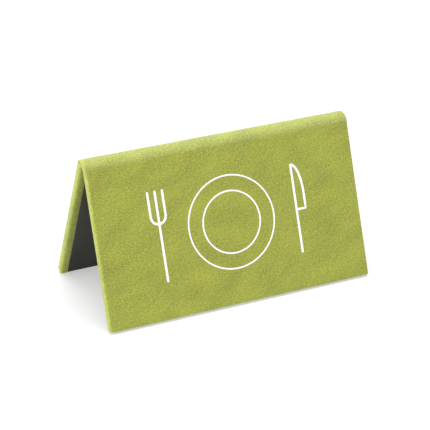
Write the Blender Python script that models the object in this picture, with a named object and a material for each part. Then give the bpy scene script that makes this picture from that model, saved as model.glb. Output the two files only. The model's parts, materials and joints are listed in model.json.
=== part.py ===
"""Table tent sign: two stiff panels wrapped in one soft sheet that folds over a round ridge.

X runs along the ridge, the printed front faces -Y, Z is up, and the origin is on the table
under the middle of the ridge. Lengths are in metres. The wrap and its lining are each one
sheet on the real sign. Here each is cut beside the ridge into three pieces, because the
panels turn there.

The soft strip between the panels bends evenly along each half of its curve. A hinge line in
the middle of each half, halfway through the strip's thickness, moves a panel the way that
bending does: flat open, the panels lie level with the ridge, and shut, they lie face to face.
"""

import math

import bmesh
import bpy
from mathutils import Matrix, Vector

# Driving dimensions
WIDTH = 0.120  # along the ridge
PANEL_LENGTH = 0.06622  # down the slant, from the end of the ridge's curve to the foot
PANEL_THICKNESS = 0.00355
HALF_ANGLE = math.radians(22.17)  # each panel's lean from the vertical
RIDGE_RADIUS = 0.00483  # outside of the ridge
COVER = 0.00075  # the wrap, and the lining with its filler card
GLUE_GAP = 0.00015  # between glued layers
EDGE_RADIUS = 0.00095  # wrapped sides and foot
RIDGE_EDGE_RADIUS = 0.0006  # ends of the ridge, where there is no board under the wrap
CORNER_RADIUS = 0.0015  # foot corners, seen square on to the panel
SIDE_TURN_IN = 0.00337  # wrap that shows beside the lining
FOOT_TURN_IN = 0.0013
BEND_GAP = 0.0007  # slit between a panel and the ridge, which the bend needs

EDGE_SEGMENTS = 4
CORNER_SEGMENTS = 6
RIDGE_STEPS = 24

# Places that follow from them
WEB = 2 * COVER + GLUE_GAP  # the ridge's whole thickness
NEUTRAL_RADIUS = RIDGE_RADIUS - WEB / 2
HALF_ARC = math.pi / 2 - HALF_ANGLE  # from the top of the ridge to where a panel starts
HINGE_ANGLE = HALF_ARC / 2
PANEL_START = Vector(
    (  # from the ridge's centre, on the outer face, in the plane across the ridge
        RIDGE_RADIUS * math.cos(HALF_ANGLE),
        RIDGE_RADIUS * math.sin(HALF_ANGLE),
    )
)
FOOT_DEPTH = PANEL_LENGTH - EDGE_RADIUS  # to the centre of the rounded inner foot edge
RIDGE_CENTRE_Z = (
    FOOT_DEPTH * math.cos(HALF_ANGLE)
    + (PANEL_THICKNESS - EDGE_RADIUS) * math.sin(HALF_ANGLE)
    + EDGE_RADIUS
    - PANEL_START.y
)
HINGE_Y = NEUTRAL_RADIUS * math.sin(HINGE_ANGLE)
HINGE_Z = RIDGE_CENTRE_Z + NEUTRAL_RADIUS * math.cos(HINGE_ANGLE)
# A panel's start, from its hinge line, in the panel's own axes: y inwards and z up the slant
START_INWARD = NEUTRAL_RADIUS * math.sin(HINGE_ANGLE + HALF_ANGLE) - RIDGE_RADIUS
START_UP = -NEUTRAL_RADIUS * math.cos(HINGE_ANGLE + HALF_ANGLE)

COVER_COLOUR = (0.37, 0.40, 0.08, 1.0)
LINING_COLOUR = (0.036, 0.036, 0.033, 1.0)
BOARD_COLOUR = (0.30, 0.28, 0.25, 1.0)


def clear_scene():
    for obj in list(bpy.data.objects):
        bpy.data.objects.remove(obj, do_unlink=True)


def new_collection(name):
    collection = bpy.data.collections.new(name)
    bpy.context.scene.collection.children.link(collection)
    return collection


def principled(name, colour, roughness):
    material = bpy.data.materials.new(name)
    material.use_nodes = True
    shader = material.node_tree.nodes["Principled BSDF"]
    shader.inputs["Base Color"].default_value = colour
    shader.inputs["Roughness"].default_value = roughness
    shader.inputs["Metallic"].default_value = 0.0
    return material


def object_from(bm, name, collection, material=None):
    bmesh.ops.recalc_face_normals(bm, faces=bm.faces)
    mesh = bpy.data.meshes.new(name)
    bm.to_mesh(mesh)
    bm.free()
    if material:
        mesh.materials.append(material)
    obj = bpy.data.objects.new(name, mesh)
    collection.objects.link(obj)
    return obj


def box(low, high):
    bm = bmesh.new()
    bmesh.ops.create_cube(bm, size=1.0)
    size = Vector(high) - Vector(low)
    middle = (Vector(high) + Vector(low)) / 2
    bmesh.ops.transform(
        bm, matrix=Matrix.Translation(middle) @ Matrix.Diagonal((*size, 1)), verts=bm.verts
    )
    return bm


def edges_where(bm, test):
    return [e for e in bm.edges if test(e.verts[0].co, e.verts[1].co)]


def smooth_by_angle(obj):
    obj.data.shade_smooth()
    obj.data.set_sharp_from_angle(angle=math.radians(35))


def panel_box(side_inset, outer_inset, inner_inset, foot_inset, top):
    """A slab in the panel's own axes, set in from the panel's outer surfaces."""
    return box(
        (side_inset - WIDTH / 2, outer_inset, foot_inset - PANEL_LENGTH),
        (WIDTH / 2 - side_inset, PANEL_THICKNESS - inner_inset, top),
    )


def wrapped_panel_outside():
    """The panel's whole outside: round foot corners, then round sides and foot."""
    bm = panel_box(0, 0, 0, 0, -BEND_GAP / 2)
    foot_z = -PANEL_LENGTH
    near = 1e-6
    across = edges_where(
        bm, lambda a, b: abs(a.z - foot_z) < near and abs(b.z - foot_z) < near and abs(a.x - b.x) < near
    )
    bmesh.ops.bevel(
        bm, geom=across, offset=CORNER_RADIUS, segments=CORNER_SEGMENTS, profile=0.5, affect="EDGES"
    )
    top_z = -BEND_GAP / 2
    rim = edges_where(
        bm,
        lambda a, b: abs(a.y - b.y) < near and not (abs(a.z - top_z) < near and abs(b.z - top_z) < near),
    )
    bmesh.ops.bevel(
        bm, geom=rim, offset=EDGE_RADIUS, segments=EDGE_SEGMENTS, profile=0.5, affect="EDGES"
    )
    return bm


def cut(obj, name, bm, cutters):
    cutter = object_from(bm, name, cutters)
    cutter.hide_render = True
    cutter.display_type = "WIRE"
    modifier = obj.modifiers.new(name, "BOOLEAN")
    modifier.operation = "DIFFERENCE"
    modifier.solver = "EXACT"
    modifier.object = cutter
    return cutter


def on_hinge(obj, hinge):
    obj.parent = hinge
    obj.location = (0, START_INWARD, START_UP)


def panel_cover(side, hinge, collection, cutters, material):
    """The wrap: a tray that holds the board, with a window on the inside for the lining."""
    past = 0.002  # how far a cutter runs out of the open top and the inside
    obj = object_from(wrapped_panel_outside(), f"{side}_cover", collection, material)
    pocket = cut(obj, f"{side}_pocket", panel_box(COVER, COVER, COVER, COVER, past), cutters)
    window = cut(
        obj,
        f"{side}_window",
        panel_box(SIDE_TURN_IN, PANEL_THICKNESS / 2, -past, FOOT_TURN_IN, past),
        cutters,
    )
    for piece in (obj, pocket, window):
        on_hinge(piece, hinge)
    smooth_by_angle(obj)


def panel_board(side, hinge, collection, material):
    inset = COVER + GLUE_GAP
    bm = panel_box(inset, inset, inset, inset, -BEND_GAP)
    on_hinge(object_from(bm, f"{side}_board", collection, material), hinge)


def panel_lining(side, hinge, collection, material):
    bm = panel_box(
        SIDE_TURN_IN + GLUE_GAP,
        PANEL_THICKNESS - COVER,
        0,
        FOOT_TURN_IN + GLUE_GAP,
        -BEND_GAP / 2,
    )
    on_hinge(object_from(bm, f"{side}_lining", collection, material), hinge)


def arc_points(centre, radius, start, end, steps):
    """Points on an arc in the X-Z plane; angles in degrees from +X towards +Z."""
    for step in range(steps + 1):
        angle = math.radians(start + (end - start) * step / steps)
        yield centre[0] + radius * math.cos(angle), centre[1] + radius * math.sin(angle)


def turned_over_ridge(outline):
    """A solid with this outline, (x, radius) points, swept along the ridge's curve."""
    sweep = 2 * (HALF_ARC - BEND_GAP / 2 / RIDGE_RADIUS)
    bm = bmesh.new()
    face = bm.faces.new([bm.verts.new((x, 0, radius)) for x, radius in outline])
    turn = Matrix.Rotation(-sweep / 2, 3, "X")
    bmesh.ops.rotate(bm, cent=(0, 0, 0), matrix=turn, verts=bm.verts)
    bmesh.ops.spin(
        bm,
        geom=[*bm.verts, *bm.edges, face],
        cent=(0, 0, 0),
        axis=(1, 0, 0),
        angle=sweep,
        steps=RIDGE_STEPS,
        use_duplicate=False,
    )
    return bm


def ridge_cover(collection, material):
    """The wrap over the ridge, doubled where its ends are turned in."""
    end = WIDTH / 2
    inner = RIDGE_RADIUS - WEB
    under = RIDGE_RADIUS - COVER
    edge = RIDGE_EDGE_RADIUS
    right = [(end - SIDE_TURN_IN, under), (end - SIDE_TURN_IN, inner)]
    right += arc_points((end - edge, inner + edge), edge, -90, 0, EDGE_SEGMENTS)
    right += arc_points((end - edge, RIDGE_RADIUS - edge), edge, 0, 90, EDGE_SEGMENTS)
    left = [(-x, radius) for x, radius in reversed(right)]
    obj = object_from(turned_over_ridge(right + left), "ridge_cover", collection, material)
    obj.location.z = RIDGE_CENTRE_Z
    smooth_by_angle(obj)


def ridge_lining(collection, material):
    end = WIDTH / 2 - SIDE_TURN_IN - GLUE_GAP
    inner = RIDGE_RADIUS - WEB
    outer = inner + COVER
    outline = [(-end, inner), (end, inner), (end, outer), (-end, outer)]
    obj = object_from(turned_over_ridge(outline), "ridge_lining", collection, material)
    obj.location.z = RIDGE_CENTRE_Z
    smooth_by_angle(obj)


def hinge_line(name, y, turn, collection):
    """An empty on the hinge line, with the panel's own axes: y inwards, z up the slant."""
    empty = bpy.data.objects.new(name, None)
    empty.empty_display_size = 0.01
    empty.location = (0, y, HINGE_Z)
    empty.rotation_euler = (-HALF_ANGLE, 0, turn)
    collection.objects.link(empty)
    return empty


def main():
    clear_scene()
    sign = new_collection("table_tent_sign")
    cutters = new_collection("cutters")
    cover = principled("suede_effect_wrap", COVER_COLOUR, 0.85)
    lining = principled("charcoal_lining", LINING_COLOUR, 0.6)
    board = principled("greyboard", BOARD_COLOUR, 0.9)
    for side, y, turn in (("front", -HINGE_Y, 0.0), ("rear", HINGE_Y, math.pi)):
        hinge = hinge_line(f"{side}_hinge", y, turn, sign)
        panel_cover(side, hinge, sign, cutters, cover)
        panel_board(side, hinge, sign, board)
        panel_lining(side, hinge, sign, lining)
    ridge_cover(sign, cover)
    ridge_lining(sign, lining)


main()
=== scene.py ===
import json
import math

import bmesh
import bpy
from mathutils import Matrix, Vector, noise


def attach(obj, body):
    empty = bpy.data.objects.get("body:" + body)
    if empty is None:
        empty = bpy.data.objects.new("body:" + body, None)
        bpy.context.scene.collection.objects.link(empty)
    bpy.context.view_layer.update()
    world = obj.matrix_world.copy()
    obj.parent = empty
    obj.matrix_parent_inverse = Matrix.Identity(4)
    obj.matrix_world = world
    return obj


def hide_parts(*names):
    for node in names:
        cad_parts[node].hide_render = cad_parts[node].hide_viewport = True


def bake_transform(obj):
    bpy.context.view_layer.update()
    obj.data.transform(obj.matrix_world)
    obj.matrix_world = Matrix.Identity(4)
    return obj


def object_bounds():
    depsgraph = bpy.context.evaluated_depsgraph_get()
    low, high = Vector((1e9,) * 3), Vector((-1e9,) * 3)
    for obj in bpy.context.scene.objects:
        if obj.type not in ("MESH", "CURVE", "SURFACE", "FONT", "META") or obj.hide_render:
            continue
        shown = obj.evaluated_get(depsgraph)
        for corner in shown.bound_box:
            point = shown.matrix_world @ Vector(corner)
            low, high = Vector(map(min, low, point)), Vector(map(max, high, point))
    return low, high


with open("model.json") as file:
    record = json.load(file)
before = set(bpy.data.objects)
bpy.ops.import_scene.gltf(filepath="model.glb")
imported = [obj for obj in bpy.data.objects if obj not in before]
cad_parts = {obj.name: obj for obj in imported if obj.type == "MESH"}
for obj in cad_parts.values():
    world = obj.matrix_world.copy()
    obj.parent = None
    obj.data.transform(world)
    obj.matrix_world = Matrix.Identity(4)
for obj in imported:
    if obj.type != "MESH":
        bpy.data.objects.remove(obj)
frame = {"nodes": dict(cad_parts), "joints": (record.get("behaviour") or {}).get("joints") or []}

# The looks of a table tent sign: two board panels wrapped in one lime suede-effect sheet that
# folds over a soft round ridge, lined with charcoal paper and printed in white. Metres, as in
# the frame: X along the ridge, the printed front towards -Y, Z up.
#
# Every wrapped or lined surface is described in sheet coordinates. x runs along the ridge, s runs
# from the middle of the ridge down the outer face to the foot, and depth goes inwards from the
# outer face. One half of the sign is built in them and then set in front of or behind the ridge.

MM = 0.001
TOLERANCE = 0.001 * MM
CAD_LOW, CAD_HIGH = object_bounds()

# Sizes taken from the frame
JOINTS = {joint["name"]: joint for joint in frame["joints"]}
WIDTH = CAD_HIGH.x - CAD_LOW.x
HALF_ANGLE = math.radians(-JOINTS["front_fold"]["range_deg"][0])  # a panel's lean from upright
HALF_ARC = math.pi / 2 - HALF_ANGLE

# Sizes of the wrapped panels and the ridge
RIDGE_RADIUS = 4.83 * MM
PANEL_LENGTH = 66.18 * MM
PANEL_THICKNESS = 3.55 * MM
RIDGE_THICKNESS = 3.2 * MM
EDGE_RADIUS = 0.85 * MM
RIDGE_EDGE_RADIUS = 0.4 * MM  # where there is no board under the wrap
INNER_ROUNDNESS = 1.3  # the sides' inner edges are this much rounder, where the wrap folds over
CORNER_RADIUS = 1.5 * MM
TIGHT_CORNER_RADIUS = 0.8 * MM  # the front panel's right foot corner
SHEET_THICKNESS = 0.6 * MM
SHOWN_TURN_IN = 3.37 * MM  # wrap that shows beside the lining
WHOLE_TURN_IN = 12 * MM
LINING_PROUD = 0.03 * MM
LINING_THICKNESS = 0.22 * MM
LINING_GAP = 0.03 * MM  # between the lining and the wrap that is pressed in under it
LINING_FOOT_MARGIN = 0.8 * MM

S_PANEL = RIDGE_RADIUS * HALF_ARC  # where the ridge's curve ends and the panel starts
S_FOOT = S_PANEL + PANEL_LENGTH
RIDGE_Z = CAD_HIGH.z - RIDGE_RADIUS
RIDGE_ROWS = (S_PANEL + 1.2 * MM, 0.3 * MM)  # where the curve's close rows end, and their spacing

SIDES = {"front": (1, "front_panel"), "rear": (-1, "rear_panel")}


# ---------------------------------------------------------------- the sheet's shape


def smoothstep(low, high, value):
    t = min(max((value - low) / (high - low), 0.0), 1.0)
    return t * t * (3 - 2 * t)


def thickness_at(s):
    """The ridge is wrap, filler card and lining; the board starts where its curve ends."""
    on_board = smoothstep(S_PANEL - 2.4 * MM, S_PANEL + 0.2 * MM, s)
    return RIDGE_THICKNESS + (PANEL_THICKNESS - RIDGE_THICKNESS) * on_board


def edge_radius_at(s):
    on_board = smoothstep(S_PANEL - 2.6 * MM, S_PANEL + 1.0 * MM, s)
    return RIDGE_EDGE_RADIUS + (EDGE_RADIUS - RIDGE_EDGE_RADIUS) * on_board


def place(x, s, depth, facing):
    """Sheet coordinates to a point of the sign; facing is 1 in front and -1 behind."""
    turn = min(s / RIDGE_RADIUS, HALF_ARC)
    radius = RIDGE_RADIUS - depth
    down = max(s - S_PANEL, 0.0)
    y = -radius * math.sin(turn) - down * math.sin(HALF_ANGLE)
    z = RIDGE_Z + radius * math.cos(turn) - down * math.cos(HALF_ANGLE)
    return Vector((x * facing, y * facing, z))


# Soft waves, as (height, wavelength, seed)
RIDGE_SWELL = (0.09 * MM, 11 * MM, 3.1)
RIDGE_RIPPLE = (0.05 * MM, 4 * MM, 7.7)
EDGE_WAVE = (0.05 * MM, 7 * MM, 12.3)
# wobbles the lower edge of the painted highlight on the ridge
HIGHLIGHT_DRIFT = (0.5 * MM, 6 * MM, 21.0)
PAPER_WAVE = (0.02 * MM, 17 * MM, 5.5)


def soft_wave(point, height, wavelength, seed):
    return height * noise.noise(point / wavelength + Vector((seed, seed * 0.37, -seed)))


def uneven(x, s, facing):
    """How far the hand-wrapped sheet stands off its even shape, on the ridge and along its edges."""
    point = place(x, s, 0, facing)
    side, foot = WIDTH / 2 - abs(x), S_FOOT - s
    on_ridge = 1 - smoothstep(6 * MM, 13 * MM, s)
    on_edge = 1 - smoothstep(0.5 * MM, 4 * MM, min(side, foot))
    height = on_ridge * (soft_wave(point, *RIDGE_SWELL) + soft_wave(point, *RIDGE_RIPPLE))
    height += on_edge * soft_wave(point, *EDGE_WAVE)
    return height * smoothstep(0, 3 * MM, foot)


def stations(start, end, step):
    """Evenly spaced values from start to end, both included."""
    count = max(1, round(abs(end - start) / step))
    return [start + (end - start) * i / count for i in range(count + 1)]


# Where the wrap's net has its lines: on a rounded edge as shares of its radius, and further in as
# distances from the outline
ROUNDING_STEPS = 7
ROUNDING = [1 - math.cos(math.pi / 2 * i / ROUNDING_STEPS) for i in range(ROUNDING_STEPS + 1)]
STRIP = [1.3 * MM, 1.9 * MM, 2.6 * MM, SHOWN_TURN_IN, 3.8 * MM, 5 * MM, 8 * MM, WHOLE_TURN_IN]


def sheet_columns(step):
    """Columns across the wrap, as (end, share of the edge radius, inset from that end)."""
    right = [(1, share, 0) for share in ROUNDING] + [(1, 0, inset) for inset in STRIP]
    reach = WIDTH / 2 - WHOLE_TURN_IN
    middle = [(math.copysign(1, x), 0, WIDTH / 2 - abs(x)) for x in stations(-reach, reach, step)]
    return [(-1, share, inset) for _, share, inset in right] + middle[1:-1] + right[::-1]


def sheet_rows(step):
    """Rows from the middle of the ridge, where a narrow one keeps the halves level, to the foot."""
    rows = [0.0] + stations(0.04 * MM, *RIDGE_ROWS)
    foot = [S_FOOT - EDGE_RADIUS * share for share in ROUNDING]
    last = [S_FOOT - inset for inset in STRIP[::-1]] + foot[::-1]
    return rows + stations(rows[-1], last[0], step)[1:-1] + last


def rounded_corner(from_side, from_foot, radius):
    """Insets of a point on square outlines, moved so that the foot corner is round."""
    if from_side >= radius or from_foot >= radius:
        return from_side, from_foot
    across = Vector((radius - from_side, radius - from_foot))
    across *= max(across) / max(across.length, 1e-9)
    return radius - across.x, radius - across.y


def dip_at(inset, radius):
    """How far a rounded edge falls away at this distance from the outline."""
    rounded = max(radius - inset, 0.0)
    return radius - math.sqrt(radius**2 - rounded**2)


def wrap_depth(x, s, level, facing):
    """Depth of the wrap's outside: level 0 on the outer face, 1 on the inner, between at the edge."""
    side, foot = WIDTH / 2 - abs(x), S_FOOT - s
    thickness, radius = thickness_at(s), edge_radius_at(s)
    if level == 0:
        return dip_at(min(side, foot), radius) - uneven(x, s, facing)
    inner_dip = max(dip_at(side, radius * INNER_ROUNDNESS), dip_at(foot, radius))
    if level == 1:
        under_lining = smoothstep(SHOWN_TURN_IN - 0.2 * MM, SHOWN_TURN_IN + 0.3 * MM, side)
        pressed = (LINING_THICKNESS - LINING_PROUD + LINING_GAP) * under_lining
        return thickness - inner_dip - pressed
    return radius + (thickness - radius - inner_dip) * level


# Colour multipliers that paint highlight and sheen on the ridge and round the edges
RIDGE_HIGHLIGHT = Vector((1.0, 1.015, 1.58))
EDGE_HIGHLIGHT = Vector((1.22, 1.24, 1.6))
CREASE_SHADE = 0.55  # how much of the light the bottom of the crease loses


def wrap_painted_light(x, s, depth, creased, facing):
    """Painted highlight over the ridge and round the edges, and painted shade in the end crease."""
    drift = soft_wave(place(x, s, 0, facing), *HIGHLIGHT_DRIFT)
    on_ridge = 1 - smoothstep(4.4 * MM, 6.6 * MM, s + drift)
    on_ridge *= 1 - smoothstep(0.5 * MM, 1.2 * MM, depth)
    reach = 1.0 * MM + 2.6 * MM * smoothstep(1.8 * MM, 3 * MM, depth)  # wider on the inside
    on_edge = 1 - smoothstep(0.2 * MM, reach, min(WIDTH / 2 - abs(x), S_FOOT - s))
    painted_light = Vector((1, 1, 1)).lerp(RIDGE_HIGHLIGHT, on_ridge).lerp(EDGE_HIGHLIGHT, on_edge)
    return painted_light * (1 - CREASE_SHADE * creased)


def store_vectors(mesh, name, values):
    attribute = mesh.attributes.new(name, "FLOAT_VECTOR", "POINT")
    attribute.data.foreach_set("vector", [number for value in values for number in value])


def mesh_object(name, points, faces, sheet_positions):
    mesh = bpy.data.meshes.new(name)
    mesh.from_pydata(points, [], faces)
    store_vectors(mesh, "sheet", sheet_positions)
    mesh.shade_smooth()
    for edge in mesh.edges:  # the halves meet in the middle of the ridge without a shaded line
        edge.use_edge_sharp = all(sheet_positions[i][1] == 0 for i in edge.vertices)
    obj = bpy.data.objects.new(name, mesh)
    bpy.context.scene.collection.objects.link(obj)
    return obj


class Net:
    """Collects the faces of a sheet whose corners are named by their place in the net."""

    def __init__(self, locate):
        self.locate = locate
        self.index = {}
        self.points = []
        self.sheet = []
        self.faces = []

    def vertex(self, key):
        if key not in self.index:
            self.index[key] = len(self.points)
            point, sheet = self.locate(*key)
            self.points.append(point)
            self.sheet.append(sheet)
        return self.index[key]

    def quad(self, *keys):
        self.faces.append([self.vertex(key) for key in keys])


CREASE_DEPTH = 1.0 * MM
CREASE_WIDTH = 0.38 * MM
CREASE_OUTER, CREASE_INNER = math.radians(46), math.radians(16)  # its place round the ridge


def end_crease(s, level):
    """Depth of the crease in the ridge's ends, where the rear panel's corner is tucked in."""
    middle = RIDGE_RADIUS * (CREASE_OUTER + (CREASE_INNER - CREASE_OUTER) * level)
    return CREASE_DEPTH * math.exp(-(((s - middle) / CREASE_WIDTH) ** 2))


def wrap_half(side_name, step=2 * MM):
    """One half of the wrap: outer face, round edges, and the turned-in strips on the inside."""
    facing, _ = SIDES[side_name]
    columns, rows = sheet_columns(step), sheet_rows(step)
    levels = [0, 0.2, 0.4, 0.6, 0.8, 1]
    painted_lights = []
    last_column, last_row, last_level = len(columns) - 1, len(rows) - 1, len(levels) - 1

    def locate(i, j, k):
        end, share, inset = columns[i]
        s = rows[j]
        side = inset + share * edge_radius_at(s)
        x = end * (WIDTH / 2 - side)
        depth = wrap_depth(x, s, levels[k], facing)
        tight = end > 0 and side_name == "front"
        corner = TIGHT_CORNER_RADIUS if tight else CORNER_RADIUS
        side, foot = rounded_corner(side, S_FOOT - s, corner)
        creased = end_crease(s, levels[k]) if side == 0 and side_name == "rear" else 0
        # painted highlight and painted crease shade at this point, stored for the material
        painted_lights.append(wrap_painted_light(x, s, depth, creased / CREASE_DEPTH, facing))
        point = place(end * (WIDTH / 2 - side - creased), S_FOOT - foot, depth, facing)
        return point, (x * facing, s * facing, depth)

    net = Net(locate)
    for i in range(last_column):
        for j in range(last_row):
            net.quad((i, j, 0), (i, j + 1, 0), (i + 1, j + 1, 0), (i + 1, j, 0))
            beside = max(columns[i][2], columns[i + 1][2]) <= WHOLE_TURN_IN + TOLERANCE
            if beside or rows[j] >= S_FOOT - WHOLE_TURN_IN - TOLERANCE:
                k = last_level
                net.quad((i, j, k), (i + 1, j, k), (i + 1, j + 1, k), (i, j + 1, k))
    for k in range(last_level):
        for j in range(last_row):
            for i, flip in ((0, False), (last_column, True)):
                corners = [(i, j, k), (i, j, k + 1), (i, j + 1, k + 1), (i, j + 1, k)]
                net.quad(*(corners[::-1] if flip else corners))
        for i in range(last_column):
            j = last_row
            net.quad((i, j, k), (i, j, k + 1), (i + 1, j, k + 1), (i + 1, j, k))
    obj = mesh_object(f"{side_name}_wrap", net.points, net.faces, net.sheet)
    store_vectors(obj.data, "painted_light", painted_lights)
    solid = obj.modifiers.new("sheet_thickness", "SOLIDIFY")
    solid.thickness = SHEET_THICKNESS
    solid.offset = -1
    solid.use_even_offset = False
    return obj


LINING_SINK = 0.16 * MM  # below the turned-in strips, between them
RIDGE_SINK = 0.25 * MM  # and this much more under the ridge


def lining_depth(x, s):
    """Depth of the lining's shown face: on the turned-in wrap near the sides, lower between them."""
    ramp_start, ramp_end = WHOLE_TURN_IN - 0.6 * MM, WHOLE_TURN_IN + 2.2 * MM
    in_middle = smoothstep(ramp_start, ramp_end, WIDTH / 2 - abs(x))
    in_middle *= smoothstep(ramp_start, ramp_end, S_FOOT - s)
    on_ridge = 1 - smoothstep(S_PANEL - 1 * MM, S_PANEL + 1 * MM, s)
    return thickness_at(s) + LINING_PROUD - (LINING_SINK + RIDGE_SINK * on_ridge) * in_middle


# Distances from the lining's outline, from its soft edge to past the end of the strips under it
LINING_SIDE_INSETS = [d * MM for d in (0, 0.12, 0.5, 1.5, 5, 7.8, 8.6, 9.6, 11)]
LINING_FOOT_INSETS = [d * MM for d in (0, 0.12, 0.5, 1.5, 5, 8.6, 9.6, 11)]


def lining_half(side, step=2.5 * MM):
    """The charcoal paper: a thin closed sheet with a slightly lifted, soft edge."""
    facing, _ = SIDES[side]
    half = WIDTH / 2 - SHOWN_TURN_IN
    right = [half - inset for inset in LINING_SIDE_INSETS]
    columns = [-x for x in right] + stations(-right[-1], right[-1], step)[1:-1] + right[::-1]
    s_end = S_FOOT - LINING_FOOT_MARGIN
    foot = [s_end - inset for inset in LINING_FOOT_INSETS[::-1]]
    ridge = stations(0, *RIDGE_ROWS)
    rows = ridge + stations(ridge[-1], foot[0], step)[1:-1] + foot
    last_column, last_row = len(columns) - 1, len(rows) - 1

    def locate(i, j, k):
        x, s = columns[i], rows[j]
        inset = min(half - abs(x), s_end - s)
        rounded = 0.06 * MM * (1 - smoothstep(0, 0.3 * MM, inset))
        depth = lining_depth(x, s) - (rounded if k == 1 else LINING_THICKNESS)
        wave = soft_wave(place(x, s, depth, facing), *PAPER_WAVE)
        return place(x, s, depth + wave, facing), (x * facing, s * facing, depth)

    net = Net(locate)
    for i in range(last_column):
        for j in range(last_row):
            net.quad((i, j, 0), (i, j + 1, 0), (i + 1, j + 1, 0), (i + 1, j, 0))
            net.quad((i, j, 1), (i + 1, j, 1), (i + 1, j + 1, 1), (i, j + 1, 1))
        for j, flip in ((0, True), (last_row, False)):
            corners = [(i, j, 0), (i, j, 1), (i + 1, j, 1), (i + 1, j, 0)]
            net.quad(*(corners[::-1] if flip else corners))
    for j in range(last_row):
        for i, flip in ((0, False), (last_column, True)):
            corners = [(i, j, 0), (i, j, 1), (i, j + 1, 1), (i, j + 1, 0)]
            net.quad(*(corners[::-1] if flip else corners))
    return mesh_object(f"{side}_lining_sheet", net.points, net.faces, net.sheet)


# ---------------------------------------------------------------- the print

PRINT_CENTRE_S = 37.5 * MM
PRINT_LIFT = 0.035 * MM
PLATE_RING = 19.5 * MM
PLATE_WELL = 13.0 * MM
FINE_STROKE = 0.65 * MM
BOLD_STROKE = 1.0 * MM
STROKE_STEP = 0.012 * MM  # a stroke drawn over another lies this much higher
CUTLERY_X = 32 * MM
CUTLERY_HALF = 18.5 * MM


def arc(cx, cy, radius, start, end, steps=20):
    """Points of an arc; angles in degrees, counterclockwise from the right."""
    for i in range(steps + 1):
        angle = math.radians(start + (end - start) * i / steps)
        yield Vector((cx + radius * math.cos(angle), cy + radius * math.sin(angle)))


def stroke_outline(path, width):
    """The outline of a round-ended line of this width along an open path."""
    half = width / 2
    left, right = [], []
    for i, point in enumerate(path):
        before, after = path[max(i - 1, 0)], path[min(i + 1, len(path) - 1)]
        direction = (after - before).normalized()
        normal = Vector((-direction.y, direction.x))
        left.append(point + normal * half)
        right.append(point - normal * half)
    first, last = path[1] - path[0], path[-1] - path[-2]
    end_turn = math.degrees(math.atan2(last.y, last.x))
    start_turn = math.degrees(math.atan2(first.y, first.x))
    end_cap = list(arc(*path[-1], half, end_turn - 90, end_turn + 90, 8))[1:-1]
    start_cap = list(arc(*path[0], half, start_turn + 90, start_turn + 270, 8))[1:-1]
    return right + end_cap + left[::-1] + start_cap


def fork_paths():
    top, bottom = CUTLERY_HALF, -CUTLERY_HALF
    spread, crook = 3.3 * MM, 8.5 * MM
    tine = [Vector((-spread, top)), Vector((-spread, (top + crook) / 2))]
    tine += arc(0, crook, spread, 180, 360)
    tine += [Vector((spread, (top + crook) / 2)), Vector((spread, top))]
    stem = [Vector((0, top - (top - bottom) * i / 6)) for i in range(7)]
    return [tine, stem]


def knife_paths():
    top, bottom = CUTLERY_HALF, -CUTLERY_HALF
    spine, belly, heel = -1.7 * MM, 2.6 * MM, -0.5 * MM
    handle = [Vector((spine, bottom + (top - bottom) * i / 6)) for i in range(7)]
    shoulder = heel + 6 * MM
    blade = []
    for degrees in range(8, 91, 6):
        turn = math.radians(degrees)
        across, up = math.sin(turn), math.cos(turn)
        blade.append(Vector((spine + (belly - spine) * across, shoulder + (top - shoulder) * up)))
    blade += [Vector((belly, heel + 3 * MM)), Vector((belly, heel))]
    blade.append(Vector((spine + 0.6 * MM, heel)))
    return [handle, blade]


def circle_verts(bm, radius, steps):
    return [bm.verts.new((*point, 0)) for point in list(arc(0, 0, radius, 0, 360, steps))[:-1]]


def ring_faces(bm, radius, width, steps=96):
    inner = circle_verts(bm, radius - width / 2, steps)
    outer = circle_verts(bm, radius + width / 2, steps)
    for i in range(steps):
        n = (i + 1) % steps
        bm.faces.new((inner[i], outer[i], outer[n], inner[n]))


def print_piece(name, draw, side, shift_x=0.0):
    """A flat printed shape, drawn square on, laid on a panel's outer face as a thin ink film."""
    facing, _ = SIDES[side]
    bm = bmesh.new()
    layer = bm.verts.layers.float_vector.new("sheet")
    draw(bm)
    bmesh.ops.recalc_face_normals(bm, faces=bm.faces)
    grown = bmesh.ops.extrude_face_region(bm, geom=bm.faces[:])
    top = {v for v in grown["geom"] if isinstance(v, bmesh.types.BMVert)}
    for vert in bm.verts:
        x, s = vert.co.x + shift_x, PRINT_CENTRE_S - vert.co.y
        vert[layer] = (x * facing, s * facing, 0)
        depth = (-PRINT_LIFT if vert in top else PRINT_LIFT) - vert.co.z
        vert.co = place(x, s, depth, facing)
    bmesh.ops.recalc_face_normals(bm, faces=bm.faces)
    mesh = bpy.data.meshes.new(name)
    bm.to_mesh(mesh)
    bm.free()
    obj = bpy.data.objects.new(name, mesh)
    bpy.context.scene.collection.objects.link(obj)
    return obj


def strokes(paths, width):
    def draw(bm):
        for number, path in enumerate(paths):
            height = number * STROKE_STEP
            bm.faces.new([bm.verts.new((*point, height)) for point in stroke_outline(path, width)])

    return draw


def rings(bm):
    ring_faces(bm, PLATE_RING, FINE_STROKE)
    ring_faces(bm, PLATE_WELL, FINE_STROKE)


def printed_motif(side):
    """A plate between a fork and a knife."""
    return [
        print_piece(f"{side}_print_plate", rings, side),
        print_piece(f"{side}_print_fork", strokes(fork_paths(), BOLD_STROKE), side, -CUTLERY_X),
        print_piece(f"{side}_print_knife", strokes(knife_paths(), BOLD_STROKE), side, CUTLERY_X),
    ]


# ---------------------------------------------------------------- materials


def new_material(name):
    material = bpy.data.materials.new(name)
    material.use_nodes = True
    nodes = material.node_tree.nodes
    shader = nodes["Principled BSDF"]
    return material, material.node_tree, shader


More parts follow.
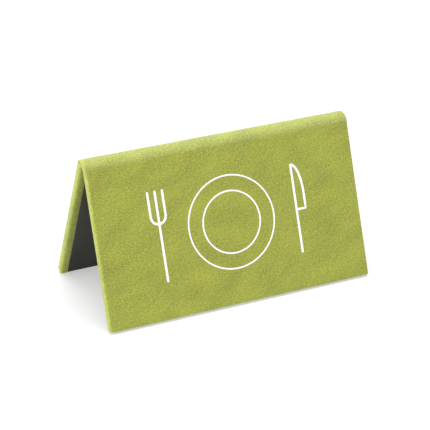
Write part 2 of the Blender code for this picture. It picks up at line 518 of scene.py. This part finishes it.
def node(tree, kind, inputs=None, **settings):
    made = tree.nodes.new(kind)
    for key, value in settings.items():
        setattr(made, key, value)
    for key, value in (inputs or {}).items():
        if isinstance(value, bpy.types.NodeSocket):
            tree.links.new(value, made.inputs[key])
        else:
            made.inputs[key].default_value = value
    return made


def stretched_noise(tree, coordinate, angle, cell, detail=2.0, roughness=0.5, offset=0.0):
    """Noise with cells of (along, across) metres, turned by angle in the plane of the sheet."""
    turned = node(
        tree, "ShaderNodeMapping", {"Vector": coordinate, "Rotation": (0, 0, math.radians(angle))}
    )
    sized = node(
        tree,
        "ShaderNodeMapping",
        {
            "Vector": turned.outputs[0],
            "Scale": (1 / cell[0], 1 / cell[1], 1 / cell[1]),
            "Location": (offset, offset, offset),
        },
    )
    made = node(
        tree,
        "ShaderNodeTexNoise",
        {"Vector": sized.outputs[0], "Scale": 1.0, "Detail": detail, "Roughness": roughness},
    )
    return made.outputs["Fac"]


def math_node(tree, operation, a, b=0.0, c=0.0):
    return node(tree, "ShaderNodeMath", {0: a, 1: b, 2: c}, operation=operation).outputs[0]


def ramp(tree, factor, stops):
    made = node(tree, "ShaderNodeValToRGB", {"Fac": factor})
    elements = made.color_ramp.elements
    while len(elements) < len(stops):
        elements.new(0.5)
    for element, (position, colour) in zip(elements, stops):
        element.position = position
        element.color = (*colour, 1)
    return made.outputs["Color"]


def linear(red, green, blue):
    """Display values from 0 to 255 as linear light."""
    def one(value):
        value /= 255
        return value / 12.92 if value <= 0.04045 else ((value + 0.055) / 1.055) ** 2.4
    return one(red), one(green), one(blue)


def suede_wrap():
    """Short nap brushed two ways over a fine grain, with soft blotches."""
    material, tree, shader = new_material("lime_suede_effect")
    place_on_sheet = node(tree, "ShaderNodeAttribute", attribute_name="sheet").outputs["Vector"]
    hair = stretched_noise(tree, place_on_sheet, -42, (1.2 * MM, 0.42 * MM), 2.5, 0.6)
    cross = stretched_noise(tree, place_on_sheet, 35, (0.8 * MM, 0.4 * MM), 2.0, 0.6, 4.0)
    grain = stretched_noise(tree, place_on_sheet, 10, (0.44 * MM, 0.38 * MM), 2.0, 0.6, 9.0)
    blotch = stretched_noise(tree, place_on_sheet, 20, (15 * MM, 9 * MM), 3.0, 0.55, 2.0)
    nap = math_node(tree, "MULTIPLY", hair, 0.42)
    nap = math_node(tree, "MULTIPLY_ADD", cross, 0.28, nap)
    nap = math_node(tree, "MULTIPLY_ADD", grain, 0.30, nap)
    shade = math_node(tree, "MULTIPLY_ADD", blotch, 0.14, math_node(tree, "MULTIPLY", nap, 0.86))
    colour = ramp(
        tree,
        shade,
        [
            (0.396, linear(121, 125, 59)),
            (0.491, linear(146, 151, 65)),
            (0.586, linear(171, 177, 71)),
        ],
    )
    # the nap colour is multiplied by the painted highlight and painted crease shade stored on the
    # mesh
    painted_light = node(tree, "ShaderNodeAttribute", attribute_name="painted_light").outputs["Vector"]
    colour_with_painted_light = node(tree, "ShaderNodeVectorMath", {0: colour, 1: painted_light}, operation="MULTIPLY")
    tree.links.new(colour_with_painted_light.outputs[0], shader.inputs["Base Color"])
    shader.inputs["Roughness"].default_value = 0.9
    shader.inputs["Specular IOR Level"].default_value = 0.2
    shader.inputs["Sheen Weight"].default_value = 0.3
    shader.inputs["Sheen Roughness"].default_value = 0.45
    shader.inputs["Sheen Tint"].default_value = (0.92, 0.95, 0.8, 1)
    bump = node(tree, "ShaderNodeBump", {"Height": nap, "Strength": 0.5, "Distance": 0.1 * MM})
    tree.links.new(bump.outputs[0], shader.inputs["Normal"])
    return material


def charcoal_paper():
    material, tree, shader = new_material("charcoal_paper")
    place_on_sheet = node(tree, "ShaderNodeAttribute", attribute_name="sheet").outputs["Vector"]
    fibre = stretched_noise(tree, place_on_sheet, 12, (1.6 * MM, 0.35 * MM), 3.0, 0.6)
    cloud = stretched_noise(tree, place_on_sheet, 0, (14 * MM, 14 * MM), 2.0, 0.5, 3.0)
    shade = math_node(tree, "MULTIPLY_ADD", cloud, 0.5, math_node(tree, "MULTIPLY", fibre, 0.5))
    # painted shade: the paper grows darker towards the foot
    parts = node(tree, "ShaderNodeSeparateXYZ", {"Vector": place_on_sheet})
    down = math_node(tree, "ABSOLUTE", math_node(tree, "MULTIPLY", parts.outputs["Y"], 1 / S_FOOT))
    painted_foot_shade = math_node(tree, "POWER", down, 2.5)
    shade = math_node(tree, "MULTIPLY_ADD", painted_foot_shade, -0.36, shade)
    stops = [(0.05, linear(40, 40, 37)), (0.3, linear(55, 54, 50)), (0.7, linear(71, 70, 65))]
    colour = ramp(tree, shade, stops)
    tree.links.new(colour, shader.inputs["Base Color"])
    shader.inputs["Roughness"].default_value = 0.72
    shader.inputs["Specular IOR Level"].default_value = 0.35
    bump = node(tree, "ShaderNodeBump", {"Height": fibre, "Strength": 0.25, "Distance": 0.03 * MM})
    tree.links.new(bump.outputs[0], shader.inputs["Normal"])
    return material


def white_ink():
    material, tree, shader = new_material("white_ink")
    place_on_sheet = node(tree, "ShaderNodeAttribute", attribute_name="sheet").outputs["Vector"]
    grain = stretched_noise(tree, place_on_sheet, -42, (0.9 * MM, 0.4 * MM), 2.0, 0.6)
    colour = ramp(tree, grain, [(0.25, linear(238, 238, 239)), (0.5, linear(247, 247, 248))])
    tree.links.new(colour, shader.inputs["Base Color"])
    shader.inputs["Roughness"].default_value = 0.55
    bump = node(tree, "ShaderNodeBump", {"Height": grain, "Strength": 0.3, "Distance": 0.04 * MM})
    tree.links.new(bump.outputs[0], shader.inputs["Normal"])
    return material


def greyboard():
    material, tree, shader = new_material("greyboard")
    where = node(tree, "ShaderNodeTexCoord").outputs["Object"]
    fibre = stretched_noise(tree, where, 0, (1.2 * MM, 0.3 * MM), 3.0, 0.6)
    colour = ramp(tree, fibre, [(0.3, linear(140, 134, 124)), (0.7, linear(168, 162, 150))])
    tree.links.new(colour, shader.inputs["Base Color"])
    shader.inputs["Roughness"].default_value = 0.95
    bump = node(tree, "ShaderNodeBump", {"Height": fibre, "Strength": 0.4, "Distance": 0.05 * MM})
    tree.links.new(bump.outputs[0], shader.inputs["Normal"])
    return material


def light_table():
    """A pale table that glows softly, so shadows on it stay pale."""
    material, tree, shader = new_material("light_table")
    where = node(tree, "ShaderNodeTexCoord").outputs["Object"]
    cloud = stretched_noise(tree, where, 0, (60 * MM, 60 * MM), 2.0, 0.5)
    colour = ramp(tree, cloud, [(0.3, (0.41, 0.41, 0.41)), (0.7, (0.43, 0.43, 0.43))])
    tree.links.new(colour, shader.inputs["Base Color"])
    shader.inputs["Roughness"].default_value = 0.9
    shader.inputs["Specular IOR Level"].default_value = 0.0
    shader.inputs["Emission Color"].default_value = (1, 1, 1, 1)
    shader.inputs["Emission Strength"].default_value = 0.43
    return material


# ---------------------------------------------------------------- the sign


def dress(obj, material):
    obj.data.materials.clear()
    obj.data.materials.append(material)


def build_sign():
    wrap_material, paper = suede_wrap(), charcoal_paper()
    ink, board = white_ink(), greyboard()
    for side, (facing, body) in SIDES.items():
        wrap = wrap_half(side)
        dress(wrap, wrap_material)
        lining = lining_half(side)
        dress(lining, paper)
        for sheet in (wrap, lining):
            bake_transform(sheet)
        for mark in printed_motif(side):
            dress(mark, ink)
            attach(mark, body)
        covered = [f"{side}_cover"] + (["ridge_cover"] if side == "front" else [])
        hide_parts(*covered)
        lined = [f"{side}_lining"] + (["ridge_lining"] if side == "front" else [])
        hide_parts(*lined)
        core = frame["nodes"][f"{side}_board"]
        core.data.materials.clear()
        core.data.materials.append(board)


# ---------------------------------------------------------------- floor, light and camera

CAMERA_AZIMUTH = math.radians(-26.45)
CAMERA_ELEVATION = math.radians(27.43)
CAMERA_ROLL = math.radians(1.16)
CAMERA_DISTANCE = 0.772
CAMERA_AIM = Vector((-0.0004, -0.0015, 0.0291))
CAMERA_LENS = 153.65  # in mm, on a sensor 36 mm wide
SENSOR_WIDTH = 36

FLOOR_SIZE = 6
WORLD_STRENGTH = 0.6


def build_floor():
    bpy.ops.mesh.primitive_plane_add(size=FLOOR_SIZE)
    floor = bpy.context.active_object
    floor.name = "floor"
    floor.data.materials.append(light_table())


def area_light(name, position, aim, size, watts):
    data = bpy.data.lights.new(name, "AREA")
    data.shape = "SQUARE"
    data.size = size
    data.energy = watts
    light = bpy.data.objects.new(name, data)
    bpy.context.scene.collection.objects.link(light)
    light.location = position
    light.rotation_euler = (Vector(aim) - Vector(position)).to_track_quat("-Z", "Y").to_euler()


def build_light():
    world = bpy.data.worlds.new("studio")
    world.use_nodes = True
    background = world.node_tree.nodes["Background"]
    background.inputs["Color"].default_value = (1, 1, 1, 1)
    background.inputs["Strength"].default_value = WORLD_STRENGTH
    bpy.context.scene.world = world
    area_light("overhead", (0.05, 0.12, 1.3), aim=(0, 0, 0), size=1.1, watts=25)
    area_light("left_fill", (-0.95, 0.0, 0.36), aim=(0, 0, 0.03), size=0.7, watts=6)
    bpy.context.scene.view_settings.view_transform = "Standard"


def build_camera():
    data = bpy.data.cameras.new("camera")
    data.lens = CAMERA_LENS
    data.sensor_width = SENSOR_WIDTH
    data.clip_start = 0.01
    camera = bpy.data.objects.new("camera", data)
    bpy.context.scene.collection.objects.link(camera)
    level = math.cos(CAMERA_ELEVATION)
    across, along = math.sin(CAMERA_AZIMUTH) * level, -math.cos(CAMERA_AZIMUTH) * level
    back = Vector((across, along, math.sin(CAMERA_ELEVATION)))
    camera.location = CAMERA_AIM + back * CAMERA_DISTANCE
    turn = (-back).to_track_quat("-Z", "Y").to_matrix() @ Matrix.Rotation(CAMERA_ROLL, 3, "Z")
    camera.rotation_euler = turn.to_euler()
    bpy.context.scene.camera = camera


build_sign()
build_floor()
build_light()
build_camera()

bpy.context.view_layer.update()
